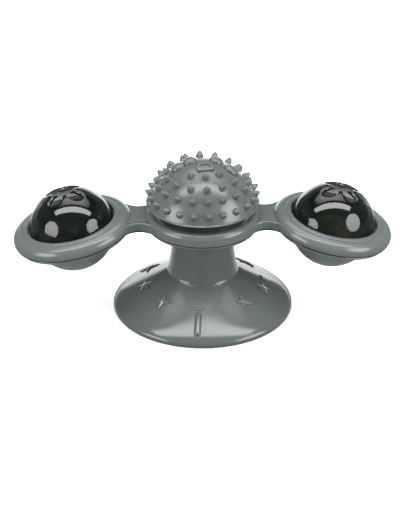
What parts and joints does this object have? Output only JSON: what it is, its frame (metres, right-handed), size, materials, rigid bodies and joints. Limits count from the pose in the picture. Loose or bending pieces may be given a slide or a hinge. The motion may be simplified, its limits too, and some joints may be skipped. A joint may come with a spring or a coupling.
{
  "type": "window spinner cat toy",
  "caption": "Suction-cup cat toy: a free-spinning arm carries turning balls in tilted rings, for a flashing lamp and for catnip, under a turning dome with soft spikes.",
  "frame": {"origin": "centre of the suction cup's rim, on the surface that it is pressed to", "axes": "+Z along the stem, away from that surface; X along the arms, with the lamp's pod at -X; the cup's release rib near -Y"},
  "size_m": [0.2096, 0.1, 0.0898],
  "materials": {
    "soft_grey": "satin soft moulding",
    "shell_grey": "smooth satin moulding",
    "brush_grey": "soft matt moulding",
    "nylon": "natural nylon",
    "carrier_black": "plain moulding",
    "smoke_clear": "clear dark smoke, polished",
    "frosted": "frosted, lets light through",
    "board": "coated board",
    "lamp_lens": "clear moulded lens",
    "herb": "pressed dried leaves",
    "steel": "zinc plated",
    "cell_steel": "nickel plated can"
  },
  "bodies": {
    "base": {"suction_cup": "soft_grey", "stem_core": "nylon", "thrust_washer": "nylon", "spacer_washer": "nylon", "retaining_washer": "steel", "axle_screw": "steel"},
    "rotor": {"rotor_upper_shell": "shell_grey", "rotor_lower_shell": "shell_grey", "hub_bush": "nylon", "hub_screw_1": "steel", "hub_screw_2": "steel", "hub_screw_3": "steel", "hub_screw_4": "steel", "arm_screw_left": "steel", "arm_screw_right": "steel"},
    "brush": {"brush_carrier": "carrier_black", "brush_dome": "brush_grey"},
    "light_ball": {"light_ball_base": "shell_grey", "led_case_lower": "frosted", "led_case_upper": "frosted", "led_board": "board", "button_cell_1": "cell_steel", "button_cell_2": "cell_steel", "button_cell_3": "cell_steel", "led_lamp": "lamp_lens", "vibration_switch": "steel"},
    "light_cover": {"light_ball_cover": "smoke_clear"},
    "catnip_ball_holder": {"catnip_ball_base": "shell_grey", "catnip_ball": "herb"},
    "catnip_cover": {"catnip_ball_cover": "smoke_clear"}
  },
  "joints": [
    {"name": "rotor_spin", "type": "hinge", "parent": "base", "child": "rotor", "pos_m": [0, 0, 0.0503], "axis": [0, 0, 1], "continuous": true},
    {"name": "brush_spin", "type": "hinge", "parent": "base", "child": "brush", "pos_m": [0, 0, 0.0646], "axis": [0, 0, 1], "continuous": true},
    {"name": "light_ball_spin", "type": "hinge", "parent": "rotor", "child": "light_ball", "pos_m": [-0.07191, 0, 0.0496], "axis": [-0.2011, 0, 0.9796], "continuous": true},
    {"name": "catnip_ball_spin", "type": "hinge", "parent": "rotor", "child": "catnip_ball_holder", "pos_m": [0.07191, 0, 0.0496], "axis": [0.2011, 0, 0.9796], "continuous": true},
    {"name": "light_cover_lift", "type": "slide", "parent": "light_ball", "child": "light_cover", "axis": [-0.2011, 0, 0.9796], "range_m": [0, 0.03]},
    {"name": "catnip_cover_lift", "type": "slide", "parent": "catnip_ball_holder", "child": "catnip_cover", "axis": [0.2011, 0, 0.9796], "range_m": [0, 0.03]}
  ]
}
